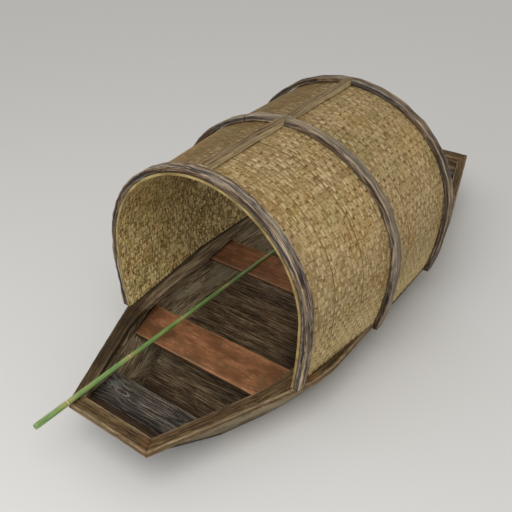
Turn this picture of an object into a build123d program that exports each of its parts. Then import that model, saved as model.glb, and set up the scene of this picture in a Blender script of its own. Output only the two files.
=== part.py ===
# A small flat-bottomed river boat with a barrel canopy of woven bamboo matting.
# Millimetres, +Z up, bow towards -Y, port side towards +X. The origin is the middle
# of the flat bottom's underside, on the centreline.
import os
from math import hypot, sqrt

from build123d import *

os.makedirs("parts", exist_ok=True)

# Hull from above: (half width, station) of each edge's corners, with the radii between
half_length = 1938
bow_rim_width, stern_rim_width = 81, 103
gunwale_edge = [(268, -half_length), (671, -1027), (652.5, 552), (264, half_length)]
gunwale_radii = [700, 3000]
gunwale_inner_edge = [
    (229, bow_rim_width - half_length), (478, -1262), (585, -190), (585, 585),
    (225, half_length - stern_rim_width),
]
gunwale_inner_radii = [700, 3000, 2500]
side_top_edge = [(295, -half_length), (693, -1027), (658, 552), (260, half_length)]
side_top_level = 320
chine_edge = [(98, -half_length), (520, -933), (520, 500), (98, half_length)]
chine_radii = [1800, 2500]

# Hull from the side: height of the sheer at three stations, and the ramps at the ends,
# each given by its setback from the boat's end and its run
sheer_points = [(-half_length, 294), (-492, 305), (half_length, 342)]
bow_setback, stern_setback = 63, 58
bow_ramp_run, stern_ramp_run = 425, 460
bow_ramp_end, stern_ramp_end = bow_setback - half_length, half_length - stern_setback
bow_knuckle, stern_knuckle = bow_ramp_end + bow_ramp_run, stern_ramp_end - stern_ramp_run

# Timber
bottom_thickness = 24
side_thickness = 26
gunwale_thickness = 38
chine_log_size = 30
chine_log_top = 108
seam = 0.8
fit = 0.3
flat_planks, bow_planks, stern_planks = 15, 3, 3

# Seats and end decks
thwart_thickness = 22
thwart_width = 270
thwarts = [("thwart_front", -1275, 200), ("thwart_middle", -445, 242), ("thwart_rear", 480, 242)]
cleat_width, cleat_height = 28, 34
deck_thickness = 22
deck_setback = 382
deck_lift = 85
deck_rise = 0.24
beam_size = 38

# Canopy: station, half width, crown height over the springing, springing height, foot
arches = [(-1207, 600, 600, 702, 566), (-459.5, 707, 621, 704, 648), (287, 697, 638, 715, 636)]
foot_level = 280
mat_thickness = 15
mat_bays = 4
hoop_width, hoop_thickness = 65, 38
hoop_lap = 8
ridge_width, ridge_height = 46, 44

# Bamboo pole: along its length from the thick end, which lies out over the bow
pole_length = 2400
pole_radius_thick, pole_radius_thin = 15.5, 9
pole_overhang = 212
pole_tip_x, pole_drift = -243, -0.0181
node_spacing, first_node = 430, 195
node_rise, node_length = 0.9, 10
pole_clearance = 0.6

# Past every piece, for cutting
reach = 800


# Circle through the three sheer points, sagging amidships
def circle_through(a, b, c):
    d = 2 * (a[0] * (b[1] - c[1]) + b[0] * (c[1] - a[1]) + c[0] * (a[1] - b[1]))
    sa, sb, sc = (p[0] ** 2 + p[1] ** 2 for p in (a, b, c))
    x = (sa * (b[1] - c[1]) + sb * (c[1] - a[1]) + sc * (a[1] - b[1])) / d
    y = (sa * (c[0] - b[0]) + sb * (a[0] - c[0]) + sc * (b[0] - a[0])) / d
    return x, y, hypot(a[0] - x, a[1] - y)


sheer_y, sheer_z, sheer_radius = circle_through(*sheer_points)


def sheer(y):
    return sheer_z - sqrt(sheer_radius**2 - (y - sheer_y) ** 2)


def sheer_arc(lift):
    ends = half_length + 20
    return ThreePointArc((-ends, sheer(-ends) + lift), (0, sheer(0) + lift), (ends, sheer(ends) + lift))


def between_sheers(low, high):
    with BuildPart() as slab:
        with BuildSketch(Plane.YZ):
            with BuildLine():
                lower = sheer_arc(low)
                upper = sheer_arc(high)
                Line(lower @ 0, upper @ 0)
                Line(lower @ 1, upper @ 1)
            make_face()
        extrude(amount=reach, both=True)
    return slab.part


# Where two lines cross, each given by two points
def crossing(a, b, c, d):
    r = (b[0] - a[0], b[1] - a[1])
    s = (d[0] - c[0], d[1] - c[1])
    t = ((c[0] - a[0]) * s[1] - (c[1] - a[1]) * s[0]) / (r[0] * s[1] - r[1] * s[0])
    return a[0] + t * r[0], a[1] + t * r[1]


def shifted(a, b, distance):
    length = hypot(b[0] - a[0], b[1] - a[1])
    n = (-(b[1] - a[1]) / length * distance, (b[0] - a[0]) / length * distance)
    return (a[0] + n[0], a[1] + n[1]), (b[0] + n[0], b[1] + n[1])


# Bottom profile in side view: the corners of a line that lies inside the outer face
bow_top = (bow_ramp_end, sheer(bow_ramp_end) - gunwale_thickness)
stern_top = (stern_ramp_end, sheer(stern_ramp_end) - gunwale_thickness)
bottom_line = [bow_top, (bow_knuckle, 0), (stern_knuckle, 0), stern_top]


def bottom_inside(distance):
    runs = [shifted(a, b, distance) for a, b in zip(bottom_line, bottom_line[1:])]
    ends = []
    for top, run in ((bow_top, runs[0]), (stern_top, runs[2])):
        ends.append(crossing(*run, top, (top[0] + 1, top[1])))
    return [ends[0], crossing(*runs[0], *runs[1]), crossing(*runs[1], *runs[2]), ends[1]]


bottom_inner = bottom_inside(bottom_thickness)


# The hull's form: ruled sides between the chine and a level above the sheer
def hull_form(inset):
    with BuildPart() as form:
        for edge, radii, level in (
            (chine_edge, chine_radii, 0),
            (side_top_edge, gunwale_radii, side_top_level),
        ):
            with BuildSketch(Plane.XY.offset(level)):
                with BuildLine():
                    side = FilletPolyline(*edge, radius=radii)
                    other = mirror(side, about=Plane.YZ)
                    Line(side @ 0, (-edge[0][0], edge[0][1]))
                    Line(side @ 1, (-edge[-1][0], edge[-1][1]))
                make_face()
                if inset:
                    offset(amount=-inset, kind=Kind.INTERSECTION)
        loft(ruled=True)
    return form.part


hull_outside = hull_form(0)
hull_inside = hull_form(side_thickness)
hull_clear = hull_form(side_thickness + fit)
under_gunwale = between_sheers(-reach, -gunwale_thickness)


# Side views of the planks that share a run of the bottom evenly
def planks_across(outer_start, outer_end, inner_start, inner_end, count):
    gap = seam / 2 / hypot(outer_end[0] - outer_start[0], outer_end[1] - outer_start[1])
    for i in range(count):
        corners = []
        for t, start, end in (
            (i / count + gap, outer_start, outer_end),
            ((i + 1) / count - gap, outer_start, outer_end),
            ((i + 1) / count - gap, inner_start, inner_end),
            (i / count + gap, inner_start, inner_end),
        ):
            corners.append((start[0] + t * (end[0] - start[0]), start[1] + t * (end[1] - start[1])))
        yield corners


bottom_runs = (
    ("bow_ramp_planks", 0, bow_planks),
    ("bottom_planks", 1, flat_planks),
    ("stern_ramp_planks", 2, stern_planks),
)
for name, run, count in bottom_runs:
    with BuildPart() as planks:
        with BuildSketch(Plane.YZ):
            ends = slice(run, run + 2)
            for corners in planks_across(*bottom_line[ends], *bottom_inner[ends], count):
                Polygon(*corners, align=None)
        extrude(amount=reach, both=True)
        add(hull_outside, mode=Mode.INTERSECT)
        add(between_sheers(-reach, -gunwale_thickness - fit), mode=Mode.INTERSECT)
    planks.part.label = name
    export_step(planks.part, f"parts/{name}.step")


# All that lies above a line a given distance inside the bottom's outer face
def above_bottom(distance):
    line = bottom_inside(distance)
    with BuildPart() as space:
        with BuildSketch(Plane.YZ):
            Polygon(*line, (line[-1][0], 2 * side_top_level), (line[0][0], 2 * side_top_level), align=None)
        extrude(amount=reach, both=True)
    return space.part


with BuildPart() as sides:
    add(hull_outside)
    add(hull_inside, mode=Mode.SUBTRACT)
    add(above_bottom(bottom_thickness), mode=Mode.INTERSECT)
    add(under_gunwale, mode=Mode.INTERSECT)

for name, sign in (("port", 1), ("starboard", -1)):
    with BuildPart() as side_plank:
        add(sides.part)
        split(bisect_by=Plane.YZ, keep=Keep.TOP if sign > 0 else Keep.BOTTOM)
    side_plank.part.label = f"side_plank_{name}"
    export_step(side_plank.part, f"parts/side_plank_{name}.step")

with BuildPart() as chine_logs:
    add(hull_clear)
    add(hull_form(side_thickness + fit + chine_log_size), mode=Mode.SUBTRACT)
    add(above_bottom(bottom_thickness + fit), mode=Mode.INTERSECT)
    add(above_bottom(bottom_thickness + fit + chine_log_size), mode=Mode.SUBTRACT)
    Box(
        2 * reach, 2 * half_length, chine_log_top,
        align=(Align.CENTER, Align.CENTER, Align.MIN), mode=Mode.INTERSECT,
    )
chine_logs.part.label = "chine_logs"
export_step(chine_logs.part, "parts/chine_logs.step")

# Gunwale boards, flat on the side planks, mitred to a board across each end
gunwale_band = between_sheers(-gunwale_thickness, 0)
for name, sign in (("port", 1), ("starboard", -1)):
    with BuildPart() as gunwale:
        with BuildSketch(Plane.XY):
            with BuildLine():
                outer = FilletPolyline(*[(sign * x, y) for x, y in gunwale_edge], radius=gunwale_radii)
                inner = FilletPolyline(
                    *[(sign * x, y) for x, y in gunwale_inner_edge], radius=gunwale_inner_radii
                )
                Line(outer @ 0, inner @ 0)
                Line(outer @ 1, inner @ 1)
            make_face()
        extrude(amount=2 * side_top_level)
        add(gunwale_band, mode=Mode.INTERSECT)
    gunwale.part.label = f"gunwale_{name}"
    export_step(gunwale.part, f"parts/gunwale_{name}.step")

for name, end in (("bow_rim", 0), ("stern_rim", -1)):
    outer_x, outer_y = gunwale_edge[end]
    inner_x, inner_y = gunwale_inner_edge[end]
    with BuildPart() as rim:
        with BuildSketch(Plane.XY):
            Polygon(
                (-outer_x + seam, outer_y), (outer_x - seam, outer_y),
                (inner_x - seam, inner_y), (-inner_x + seam, inner_y), align=None,
            )
        extrude(amount=2 * side_top_level)
        add(gunwale_band, mode=Mode.INTERSECT)
    rim.part.label = name
    export_step(rim.part, f"parts/{name}.step")

# Thwarts: planks across the hull, each on a cleat at either side
cleat_form = hull_form(side_thickness + fit + cleat_width)
with BuildPart() as thwart_cleats:
    for name, front, top in thwarts:
        level = top - thwart_thickness - fit - cleat_height
        with BuildSketch(Plane.XY.offset(level)):
            with Locations((0, front + thwart_width / 2)):
                Rectangle(2 * reach, thwart_width - 2 * cleat_width)
        extrude(amount=cleat_height)
    add(hull_clear, mode=Mode.INTERSECT)
    add(cleat_form, mode=Mode.SUBTRACT)
thwart_cleats.part.label = "thwart_cleats"
export_step(thwart_cleats.part, "parts/thwart_cleats.step")

for name, front, top in thwarts:
    with BuildPart() as thwart:
        with BuildSketch(Plane.XY.offset(top - thwart_thickness)):
            with Locations((0, front + thwart_width / 2)):
                Rectangle(2 * reach, thwart_width)
        extrude(amount=thwart_thickness)
        add(hull_clear, mode=Mode.INTERSECT)
    thwart.part.label = name
    export_step(thwart.part, f"parts/{name}.step")

# End decks: one board each, lifted clear of the ramp at its inboard edge and running out
# to it, on a beam under that edge
ramp_clear = bottom_inside(bottom_thickness + fit)
for name, way, ramp in (("bow", -1, ramp_clear[:2]), ("stern", 1, ramp_clear[2:])):
    station = way * (half_length - deck_setback)
    edge = (station, crossing(*ramp, (station, 0), (station, 1))[1] + deck_lift)
    far = (edge[0] + way, edge[1] + deck_rise)
    low_edge, low_far = shifted(edge, far, way * -deck_thickness)
    with BuildPart() as deck:
        with BuildSketch(Plane.YZ):
            Polygon(edge, crossing(edge, far, *ramp), crossing(low_edge, low_far, *ramp), low_edge, align=None)
        extrude(amount=reach, both=True)
        add(hull_clear, mode=Mode.INTERSECT)
    deck.part.label = f"{name}_deck"
    export_step(deck.part, f"parts/{name}_deck.step")
    with BuildPart() as beam:
        with BuildSketch(Plane.YZ):
            top = low_edge[1] - 2 * fit
            start = low_edge[0] + way * fit
            Polygon(
                (start, top), (start + way * beam_size, top),
                (start + way * beam_size, top - beam_size), (start, top - beam_size), align=None,
            )
        extrude(amount=reach, both=True)
        add(hull_clear, mode=Mode.INTERSECT)
        add(above_bottom(bottom_thickness + fit), mode=Mode.INTERSECT)
    beam.part.label = f"{name}_beam"
    export_step(beam.part, f"parts/{name}_beam.step")


# Canopy: an arch with straight-sprung legs that lean in, half an ellipse above them
def arch_line(half, rise, springing, foot):
    legs = []
    for sign in (1, -1):
        legs.append(TangentArc((sign * half, springing), (sign * foot, foot_level), tangent=(0, -1)))
    EllipticalCenterArc((0, springing), half, rise, arc_size=180)
    return legs


def arch_at(y, grow):
    for low, high in zip(arches, arches[1:]):
        if y <= high[0] or high is arches[-1]:
            t = (y - low[0]) / (high[0] - low[0])
            half, rise, springing, foot = (a + t * (b - a) for a, b in zip(low[1:], high[1:]))
            return half + grow, rise + grow, springing, foot + grow


def arch_form(start, end, grow):
    with BuildPart() as form:
        for i in range(mat_bays + 1):
            y = start + i / mat_bays * (end - start)
            with BuildSketch(Plane.XZ.offset(-y)):
                with BuildLine():
                    legs = arch_line(*arch_at(y, grow))
                    Line(legs[0] @ 1, legs[1] @ 1)
                make_face()
        loft(ruled=True)
    return form.part


above_gunwale = between_sheers(fit, 2 * reach)
hoop_middle_y = arches[1][0]
mats = (
    ("mat_front", arches[0][0], hoop_middle_y - seam / 2),
    ("mat_rear", hoop_middle_y + seam / 2, arches[2][0]),
)
for name, start, end in mats:
    with BuildPart() as mat:
        add(arch_form(start, end, mat_thickness))
        add(arch_form(start, end, 0), mode=Mode.SUBTRACT)
        add(above_gunwale, mode=Mode.INTERSECT)
    mat.part.label = name
    export_step(mat.part, f"parts/{name}.step")

with BuildPart() as gunwale_block:
    with BuildSketch(Plane.XY):
        with BuildLine():
            side = FilletPolyline(*gunwale_edge, radius=gunwale_radii)
            mirror(side, about=Plane.YZ)
            Line(side @ 0, (-gunwale_edge[0][0], gunwale_edge[0][1]))
            Line(side @ 1, (-gunwale_edge[-1][0], gunwale_edge[-1][1]))
        make_face()
        offset(amount=fit)
    extrude(amount=2 * side_top_level)
    add(between_sheers(-reach, fit), mode=Mode.INTERSECT)

hoops = (
    ("hoop_front", arches[0][0] + hoop_width / 2, fit),
    ("hoop_middle", hoop_middle_y, -gunwale_thickness - hoop_lap),
    ("hoop_rear", arches[2][0] - hoop_width / 2, -gunwale_thickness - hoop_lap),
)
first_bay = arch_form(arches[0][0], hoop_middle_y, mat_thickness + fit)
second_bay = arch_form(hoop_middle_y, arches[2][0], mat_thickness + fit)
for name, y, foot in hoops:
    with BuildPart() as hoop:
        grow = mat_thickness + fit + hoop_thickness
        with BuildSketch(Plane.XZ.offset(-y)):
            with BuildLine():
                half, rise, springing, foot_half = arch_at(y, grow)
                legs = arch_line(half, rise, springing, foot_half)
                drop = sheer(y) - gunwale_thickness - 40
                low = [(side * foot_half, drop) for side in (1, -1)]
                Line(legs[0] @ 1, low[0])
                Line(legs[1] @ 1, low[1])
                Line(low[0], low[1])
            make_face()
        extrude(amount=hoop_width / 2, both=True)
        add(first_bay, mode=Mode.SUBTRACT)
        add(second_bay, mode=Mode.SUBTRACT)
        add(gunwale_block.part, mode=Mode.SUBTRACT)
        add(between_sheers(foot, 2 * reach), mode=Mode.INTERSECT)
    hoop.part.label = name
    export_step(hoop.part, f"parts/{name}.step")


def crown(y):
    half, rise, springing, foot_half = arch_at(y, mat_thickness + fit)
    return springing + rise


ridges = (
    ("ridge_front", arches[0][0] + hoop_width + fit, hoop_middle_y - hoop_width / 2 - fit),
    ("ridge_rear", hoop_middle_y + hoop_width / 2 + fit, arches[2][0] - hoop_width - fit),
)
for name, start, end in ridges:
    with BuildPart() as ridge:
        with BuildSketch(Plane.YZ):
            Polygon(
                (start, crown(start)), (end, crown(end)),
                (end, crown(end) + ridge_height), (start, crown(start) + ridge_height), align=None,
            )
        extrude(amount=ridge_width / 2, both=True)
        chamfer(ridge.edges().filter_by(Axis.X, reverse=True).filter_by(Axis.Z, reverse=True), 3)
    ridge.part.label = name
    export_step(ridge.part, f"parts/{name}.step")


# The bamboo pole lies on the starboard gunwale's inner edge and the middle thwart. Each
# length between two nodes is a cylinder, thinner than the one before
def nodes_before(along):
    return (along - first_node) // node_spacing + 1


def pole_radius(along):
    taper = (pole_radius_thin - pole_radius_thick) / nodes_before(pole_length)
    return pole_radius_thick + taper * nodes_before(along)


pole_tip_y = -half_length - pole_overhang
inner_edge = [(-x, y) for x, y in gunwale_inner_edge[:2]]
pole_over = [(pole_tip_x, pole_tip_y), (pole_tip_x + pole_drift, pole_tip_y + 1)]
bow_seat = crossing(*pole_over, *inner_edge)[1]
thwart_seat = thwarts[1][1] + thwart_width
seat_heights = []
for y, support in ((bow_seat, sheer(bow_seat)), (thwart_seat, thwarts[1][2])):
    seat_heights.append(support + pole_radius(y - pole_tip_y) + pole_clearance)
pole_slope = (seat_heights[1] - seat_heights[0]) / (thwart_seat - bow_seat)
pole_tip = Vector(pole_tip_x, pole_tip_y, seat_heights[0] + pole_slope * (pole_tip_y - bow_seat))
pole_way = Vector(pole_drift, 1, pole_slope).normalized()

outline = [(0, 0), (0, pole_radius(0))]
along = first_node
while along < pole_length - node_length:
    before, after = pole_radius(along - node_length), pole_radius(along + node_length)
    ring = (before + after) / 2 + node_rise
    outline += [(along - node_length, before), (along, ring), (along + node_length, after)]
    along += node_spacing
outline += [(pole_length, pole_radius(pole_length)), (pole_length, 0)]
with BuildPart() as punt_pole:
    with BuildSketch(Plane(origin=pole_tip, x_dir=pole_way, z_dir=pole_way.cross(Vector(0, 0, 1)))):
        with BuildLine():
            Polyline(*outline, close=True)
        make_face()
    revolve(axis=Axis(pole_tip, pole_way))
punt_pole.part.label = "punt_pole"
export_step(punt_pole.part, "parts/punt_pole.step")
print("pole tip", tuple(pole_tip), "towards the thin end", tuple(pole_way))
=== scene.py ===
import math

import bpy
import numpy as np
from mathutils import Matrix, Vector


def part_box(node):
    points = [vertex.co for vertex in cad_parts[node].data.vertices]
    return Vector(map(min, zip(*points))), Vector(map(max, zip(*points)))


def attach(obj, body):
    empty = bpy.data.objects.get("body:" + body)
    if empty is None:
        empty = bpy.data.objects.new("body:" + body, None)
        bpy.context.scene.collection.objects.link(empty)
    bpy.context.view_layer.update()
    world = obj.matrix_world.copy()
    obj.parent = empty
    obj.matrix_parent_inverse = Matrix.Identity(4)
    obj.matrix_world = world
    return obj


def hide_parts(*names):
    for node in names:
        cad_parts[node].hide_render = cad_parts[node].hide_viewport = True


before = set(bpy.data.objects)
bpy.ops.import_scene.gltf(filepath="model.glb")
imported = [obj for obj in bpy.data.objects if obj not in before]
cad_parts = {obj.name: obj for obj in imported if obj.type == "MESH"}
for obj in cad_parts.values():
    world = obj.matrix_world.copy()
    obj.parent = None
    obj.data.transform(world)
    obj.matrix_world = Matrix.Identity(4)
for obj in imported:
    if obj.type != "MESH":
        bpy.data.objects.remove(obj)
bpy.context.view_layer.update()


# The bottom is of softwood planks nailed across the boat, three more up each ramp. Their grain runs from
# side to side, dark, with paler ribs worn up between.
class Field:
    """A value, colour or place that varies over a surface: one socket of a material. The
    usual signs add Math nodes, and node() adds any other kind."""

    def __init__(self, tree, socket):
        self.tree, self.socket = tree, socket

    def node(self, kind, settings, inputs, output=0):
        made = self.tree.nodes.new(kind)
        for key, value in settings.items():
            setattr(made, key, value)
        for key, value in inputs.items():
            if isinstance(value, Field):
                self.tree.links.new(value.socket, made.inputs[key])
            else:
                made.inputs[key].default_value = value
        return Field(self.tree, made.outputs[output])

    def math(self, operation, *others):
        return self.node("ShaderNodeMath", {"operation": operation}, dict(enumerate((self, *others))))

    def __add__(self, other):
        return self.math("ADD", other)

    def __sub__(self, other):
        return self.math("SUBTRACT", other)

    def __rsub__(self, other):
        return (self * -1).math("ADD", other)

    def __mul__(self, other):
        return self.math("MULTIPLY", other)

    __radd__, __rmul__ = __add__, __mul__

    def __abs__(self):
        return self.math("ABSOLUTE")

    def split(self):
        return [self.node("ShaderNodeSeparateXYZ", {}, {0: self}, axis) for axis in range(3)]

    def rise(self, low, high):
        """0 up to low, 1 from high, smooth between."""
        ends = {"Value": self, "From Min": low, "From Max": high}
        return self.node("ShaderNodeMapRange", {"interpolation_type": "SMOOTHSTEP"}, ends)

    def line(self, level, width):
        """1 where the value is at level, falling to 0 at width from it."""
        return 1 - abs(self - level).rise(width * 0.2, width)

    def mix(self, first, second):
        """The first colour where this is 0, the second where it is 1."""
        return self.node("ShaderNodeMix", {"data_type": "RGBA"}, {0: self, 6: first, 7: second}, 2)

    def attribute(self, name, output="Vector"):
        """What the mesh holds for each of its points under a name."""
        return self.node("ShaderNodeAttribute", {"attribute_name": name}, {}, output)

    def bump(self, distance, strength):
        """The normal of a surface that rises by this value, 1 being distance metres."""
        return self.node("ShaderNodeBump", {}, {"Height": self, "Distance": distance, "Strength": strength})


def noise(x, y, z, detail=3.0, roughness=0.6):
    """Soft noise over three values, about one blotch to each whole number of them."""
    place = x.node("ShaderNodeCombineXYZ", {}, {0: x, 1: y, 2: z})
    wanted = {"Vector": place, "Scale": 1.0, "Detail": detail, "Roughness": roughness}
    return x.node("ShaderNodeTexNoise", {}, wanted)


def paint(red, green, blue):
    """A colour as a screen shows it, 0 to 255, in the linear light that shaders count in."""
    shown = np.array([red, green, blue]) / 255
    linear = np.where(shown > 0.04045, ((shown + 0.055) / 1.055) ** 2.4, shown / 12.92)
    return (*linear.tolist(), 1.0)


def finish(name, sockets):
    """A material. sockets is a function of the place on the object, as a Field, and gives
    what each socket of the shader takes."""
    made = bpy.data.materials.new(name)
    made.use_nodes = True
    tree = made.node_tree
    shader = tree.nodes["Principled BSDF"]
    place = Field(tree, tree.nodes.new("ShaderNodeTexCoord").outputs["Object"])
    for key, value in sockets(place).items():
        if isinstance(value, Field):
            tree.links.new(value.socket, shader.inputs[key])
        else:
            shader.inputs[key].default_value = value
    return made


def timber(along, across, depth, tones, wear=0, fine=1.0, mottle=0.5):
    """Weathered wood by its grain: tones are the black of its cracks, its dark, middle and
    pale colours and the grey of worn arrises. Streaks follow the grain, rings of it stand up
    pale or open into cracks, and slow stains lie over all."""
    black, dark, middle, pale, worn = tones
    wander = noise(along * 2.6, across * 5, depth * 5, 2.0) * 0.035
    across, depth = across + wander, depth + wander
    grain = noise(along * 3.6, across * 90 * fine, depth * 90 * fine, 4.0, 0.65)
    fibre = noise(along * 15, across * 330, depth * 330)
    stain = noise(along * 3.3 + 5.1, across * 10, depth * 10)
    rings = noise(along * 2.4, across * 58 * fine + 9.1, depth * 58 * fine, 2.5)
    crack = rings.line(0.5, 0.022) * stain.rise(0.3, 0.6)
    rib = rings.line(0.43, 0.03) + rings.line(0.58, 0.03)
    colour = grain.rise(0.36, 0.56).mix(dark, middle)
    colour = (grain + fibre * 0.6).rise(0.78, 0.98).mix(colour, pale)
    colour = (stain.rise(0.45, 0.72) * mottle).mix(colour, dark)
    colour = (rib * fibre.rise(0.4, 0.65) * 0.5).mix(colour, pale)
    colour = (fibre.rise(0.3, 0.55) * wear).mix(colour, worn)
    colour = (crack * 0.9).mix(colour, black)
    height = grain * 0.5 + fibre * 0.3 + rib * 0.15 - crack
    return {
        "Base Color": colour,
        "Roughness": grain * -0.2 + 0.9,
        "Specular IOR Level": 0.15,
        "Normal": height.bump(0.0012, 0.9),
    }


def dress(nodes, material):
    """Gives CAD nodes their material."""
    for name in nodes:
        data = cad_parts[name].data
        data.materials.clear()
        data.materials.append(material)


bottom_tones = (
    paint(24, 15, 8), paint(50, 36, 22), paint(106, 86, 62), paint(164, 143, 115), paint(136, 116, 92),
)
plank_pitch = 0.1913
scuff_x, scuff_y = -0.33, -1.215


def bottom_sockets(place):
    """Each plank has grain of its own. They are darker forward, painted near black with the bow deck's
    shadow up the ramp and with shade along the port side from the canopy aft, and scuffed pale under the
    front seat."""
    x, y, z = place.split()
    plank = (y * (1 / plank_pitch)).math("FLOOR")
    wood = timber(x + plank * 0.73, y, z, bottom_tones, fine=1.35, mottle=0.75)
    # Darker forward.
    darker_forward = 1 - (y + noise(x * 5, y * 5, z) * 0.2).rise(-1.15, -0.9)
    colour = (darker_forward * 0.27).mix(wood["Base Color"], paint(44, 30, 17))
    # Painted shadow of the bow deck: near black on the ramp under it and just aft of it.
    ramp = 1 - (y + noise(x * 8, y * 8, z) * 0.06).rise(-1.42, -1.34)
    colour = (ramp * 0.8).mix(colour, paint(42, 28, 15))
    # Painted shade along the port side under the canopy.
    lee_shade = x.rise(0.02, 0.4) * y.rise(-1.02, -0.92)
    colour = (lee_shade * 0.9).mix(colour, paint(34, 22, 11))
    away = (abs(x - scuff_x) + abs(y - scuff_y) * 2).rise(0.05, 0.2)
    scuff = noise(x * 7, y * 110, z, 4.0, 0.7).rise(0.4, 0.6) * (1 - away)
    wood["Base Color"] = (scuff * 0.85).mix(colour, bottom_tones[3])
    return wood


dress(["bottom_planks", "bow_ramp_planks", "stern_ramp_planks"], finish("bottom_wood", bottom_sockets))


# One flared plank makes each side, with a chine log in the corner under it, and cleats and beams on its
# inner face for the seats and decks. It is grey above and darker along its foot.
side_tones = (
    paint(32, 22, 12), paint(78, 62, 41), paint(144, 126, 96), paint(196, 179, 148), paint(166, 150, 122),
)


def side_sockets(place):
    """Grey in slow patches, darker along the foot and towards the bow."""
    x, y, z = place.split()
    wood = timber(y, z, x * 0.03, side_tones, fine=1.3)
    # Darker along the foot.
    edge_darkening = 1 - (z + noise(y * 4, z * 4, x * 4) * 0.12).rise(0.08, 0.18)
    fore = 1 - (y + noise(y * 6, z * 6, x * 6) * 0.2).rise(-1.45, -1.15)
    aged = noise(y * 4 + 2, z * 9, x * 2, 3.0).rise(0.46, 0.6)
    colour = (aged * 0.6).mix(wood["Base Color"], paint(156, 146, 120))
    wood["Base Color"] = (edge_darkening * 0.18 + fore * 0.35).mix(colour, side_tones[1])
    return wood


def cleat_sockets(place):
    """The sides' wood with its grain along the boat, dark towards the bow."""
    x, y, z = place.split()
    wood = timber(y + 4.3, x, z, side_tones, fine=1.3)
    fore = 1 - (y + noise(y * 6, z * 6, x * 6) * 0.2).rise(-1.2, -0.8)
    wood["Base Color"] = (fore * 0.6).mix(wood["Base Color"], paint(44, 32, 20))
    return wood


def beam_sockets(place):
    """The sides' wood with its grain across the boat."""
    x, y, z = place.split()
    return timber(x + 7.9, y, z, side_tones)


dress(["side_plank_port", "side_plank_starboard"], finish("side_wood", side_sockets))
dress(["chine_logs", "thwart_cleats"], finish("cleat_wood", cleat_sockets))
dress(["bow_beam", "stern_beam"], finish("beam_wood", beam_sockets))


# Flat boards cap the sides, mitred at the corners to a board across each end. Their arrises
# are worn pale and a little round by hands, ropes and the pole.
half_length = 1.938
sheer_stations, sheer_heights = (-half_length, -0.492, half_length), (0.294, 0.305, 0.342)
sheer = np.poly1d(np.polyfit(sheer_stations, sheer_heights, 2))
gunwale_thickness = 0.038
worn_width = 0.014
outer_corners = [(0.268, -half_length), (0.671, -1.027), (0.6525, 0.552), (0.264, half_length)]
outer_radii = [0.7, 3.0]
inner_corners = [(0.229, -1.857), (0.478, -1.262), (0.585, -0.19), (0.585, 0.585), (0.225, 1.835)]
inner_radii = [0.7, 3.0, 2.5]


def rounded_line(corners, radii, count, arc_points=12):
    """Points evenly spaced along straight runs between corners, with an arc at each inner
    corner: on the arc a point is its start, plus the radius times the sine of the angle
    along the first run and one less its cosine inwards."""
    corners = np.array(corners)
    runs = np.diff(corners, axis=0)
    ways = runs / np.linalg.norm(runs, axis=1)[:, None]
    line = [corners[:1]]
    for corner, before, after, radius in zip(corners[1:-1], ways, ways[1:], radii):
        turn = np.arctan2(before[0] * after[1] - before[1] * after[0], before @ after)
        inward = np.sign(turn) * np.array([-before[1], before[0]])
        start = corner - before * radius * math.tan(abs(turn) / 2)
        angles = np.linspace(0, abs(turn), arc_points)[:, None]
        line.append(start + radius * (np.sin(angles) * before + (1 - np.cos(angles)) * inward))
    line = np.vstack([*line, corners[-1:]])
    length = np.append(0, np.cumsum(np.linalg.norm(np.diff(line, axis=0), axis=1)))
    even = np.linspace(0, length[-1], count)
    return np.stack([np.interp(even, length, line[:, axis]) for axis in range(2)], 1)


def tube_faces(lines, rows, columns):
    """The faces of closed tubes whose points are a grid of lines, rows and columns: four-
    cornered sides between the rows, then each tube's two flat ends."""
    index = np.arange(lines * rows * columns).reshape(lines, rows, columns)
    ahead = np.roll(index, -1, axis=2)
    sides = np.stack([index[:, :-1], ahead[:, :-1], ahead[:, 1:], index[:, 1:]], -1)
    return sides.reshape(-1, 4), [*index[:, 0, ::-1].tolist(), *index[:, -1].tolist()]


def mesh_piece(name, points, sides, ends, material, body="hull", sharp=None, **attributes):
    """A closed piece from arrays: its points, its smooth sides, its flat ends, the columns
    of points whose edges are sharp, and a number or vector for each point under each
    attribute's name. Its faces are turned outwards by the sign of the volume they hold."""
    points = points.reshape(-1, 3)
    corners = points[sides]
    volume = np.einsum("ij,ij->", corners[:, 0], np.cross(corners[:, 1], corners[:, 2]))
    volume += np.einsum("ij,ij->", corners[:, 0], np.cross(corners[:, 2], corners[:, 3]))
    turn = -1 if volume < 0 else 1
    data = bpy.data.meshes.new(name)
    faces = [*sides[:, ::turn].tolist(), *[end[::turn] for end in ends]]
    data.from_pydata(points.tolist(), [], faces)
    for key, values in attributes.items():
        kind, field = ("FLOAT_VECTOR", "vector") if values.shape[-1] == 3 else ("FLOAT", "value")
        layer = data.attributes.new(key, kind, "POINT")
        layer.data.foreach_set(field, np.ascontiguousarray(values, np.float32).ravel())
    data.polygons.foreach_set("use_smooth", np.arange(len(data.polygons)) < len(sides))
    if sharp is not None:
        columns, chosen = sharp
        pairs = np.empty(len(data.edges) * 2, np.int32)
        data.edges.foreach_get("vertices", pairs)
        column = pairs.reshape(-1, 2) % columns
        marked = (column[:, 0] == column[:, 1]) & np.isin(column[:, 0], chosen)
        data.attributes.new("sharp_edge", "BOOLEAN", "EDGE").data.foreach_set("value", marked)
    data.materials.append(material)
    piece = bpy.data.objects.new(name, data)
    bpy.context.scene.collection.objects.link(piece)
    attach(piece, body)
    return piece


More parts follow.
